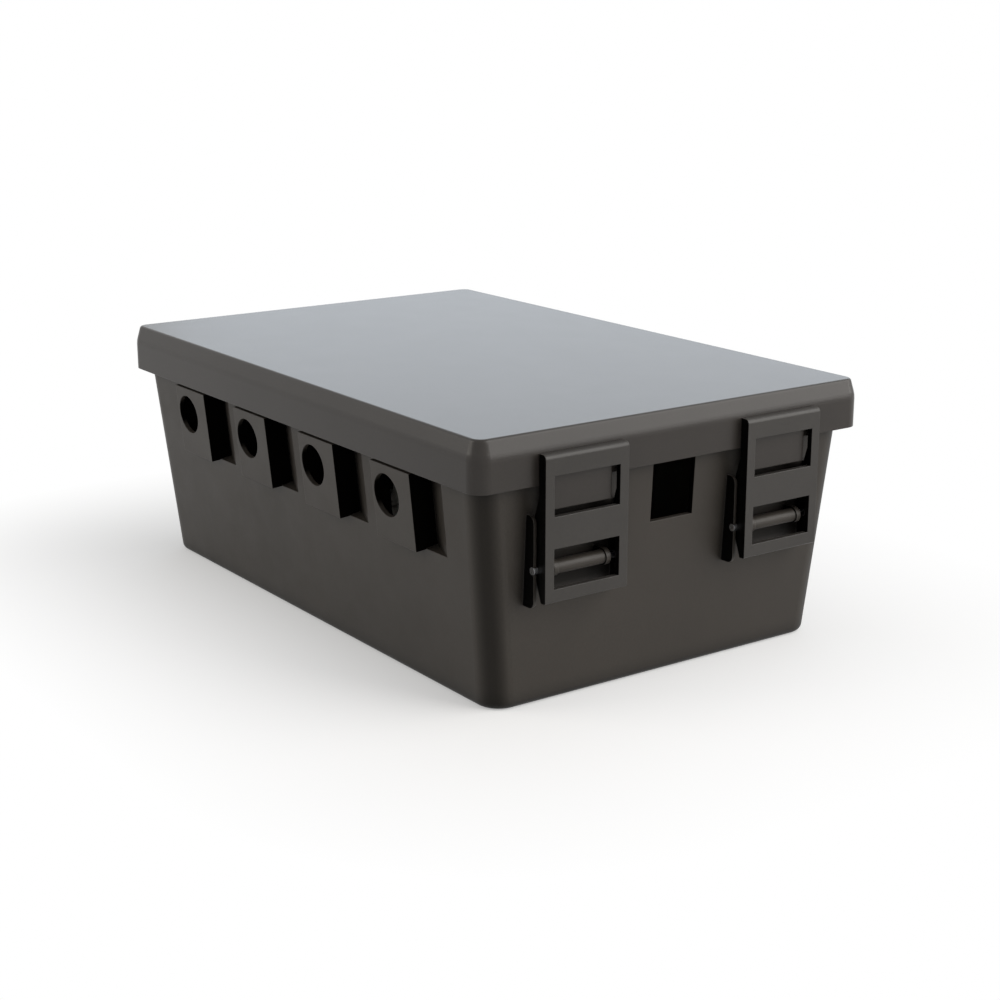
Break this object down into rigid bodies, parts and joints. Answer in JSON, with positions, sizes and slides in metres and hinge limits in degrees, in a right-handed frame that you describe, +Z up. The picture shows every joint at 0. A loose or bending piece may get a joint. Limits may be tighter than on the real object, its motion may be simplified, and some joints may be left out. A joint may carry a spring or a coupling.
{
  "type": "junction box",
  "caption": "Large rectangular plastic junction box with a lift-off lid, side latches, cable entries and terminals on a rail inside.",
  "frame": {"origin": "middle of the base, on the surface that the box stands on", "axes": "+X along the box, +Z up through the lid, the side with the cable entries faces -Y"},
  "size_m": [0.34, 0.2214, 0.1255],
  "materials": {
    "tub_plastic": "fine moulded texture",
    "lid_plastic": "satin moulded",
    "latch_plastic": "satin moulded",
    "gasket_rubber": "matt",
    "pin_steel": "drawn",
    "zinc_sheet": "zinc plated",
    "screw_steel": "zinc plated",
    "terminal_grey": "satin",
    "terminal_blue": "satin",
    "terminal_green": "satin",
    "stop_grey": "satin",
    "brass": "machined"
  },
  "bodies": {
    "tub": {"tub": "tub_plastic", "latch_pin_right_front": "pin_steel", "latch_pin_right_back": "pin_steel", "latch_pin_left_back": "pin_steel", "latch_pin_left_front": "pin_steel", "mounting_plate": "zinc_sheet", "plate_screws": "screw_steel", "terminal_rail": "zinc_sheet", "rail_screws": "screw_steel", "terminal_1": "terminal_grey", "terminal_2": "terminal_grey", "terminal_3": "terminal_grey", "terminal_4": "terminal_grey", "terminal_5": "terminal_grey", "terminal_6": "terminal_blue", "terminal_7": "terminal_green", "terminal_8": "terminal_green", "terminal_bars": "brass", "clamp_screws": "screw_steel", "terminal_end_plate": "terminal_grey", "end_stop_left": "stop_grey", "end_stop_right": "stop_grey", "end_stop_screws": "screw_steel", "earth_bar": "brass", "earth_bar_feet": "stop_grey", "earth_screws": "screw_steel", "earth_foot_screws": "screw_steel"},
    "lid": {"lid": "lid_plastic", "lid_gasket": "gasket_rubber"},
    "latch_right_front": {"latch_right_front": "latch_plastic"},
    "latch_right_back": {"latch_right_back": "latch_plastic"},
    "latch_left_back": {"latch_left_back": "latch_plastic"},
    "latch_left_front": {"latch_left_front": "latch_plastic"}
  },
  "joints": [
    {"name": "lid_lift", "type": "slide", "parent": "tub", "child": "lid", "axis": [0, 0, 1], "range_m": [0, 0.15]},
    {"name": "swing_right_front", "type": "hinge", "parent": "tub", "child": "latch_right_front", "pos_m": [0.1635, -0.0567, 0.065], "axis": [0, 1, 0], "range_deg": [0, 38]},
    {"name": "swing_right_back", "type": "hinge", "parent": "tub", "child": "latch_right_back", "pos_m": [0.1635, 0.0567, 0.065], "axis": [0, 1, 0], "range_deg": [0, 38]},
    {"name": "swing_left_back", "type": "hinge", "parent": "tub", "child": "latch_left_back", "pos_m": [-0.1635, 0.0567, 0.065], "axis": [0, -1, 0], "range_deg": [0, 38]},
    {"name": "swing_left_front", "type": "hinge", "parent": "tub", "child": "latch_left_front", "pos_m": [-0.1635, -0.0567, 0.065], "axis": [0, -1, 0], "range_deg": [0, 38]}
  ]
}
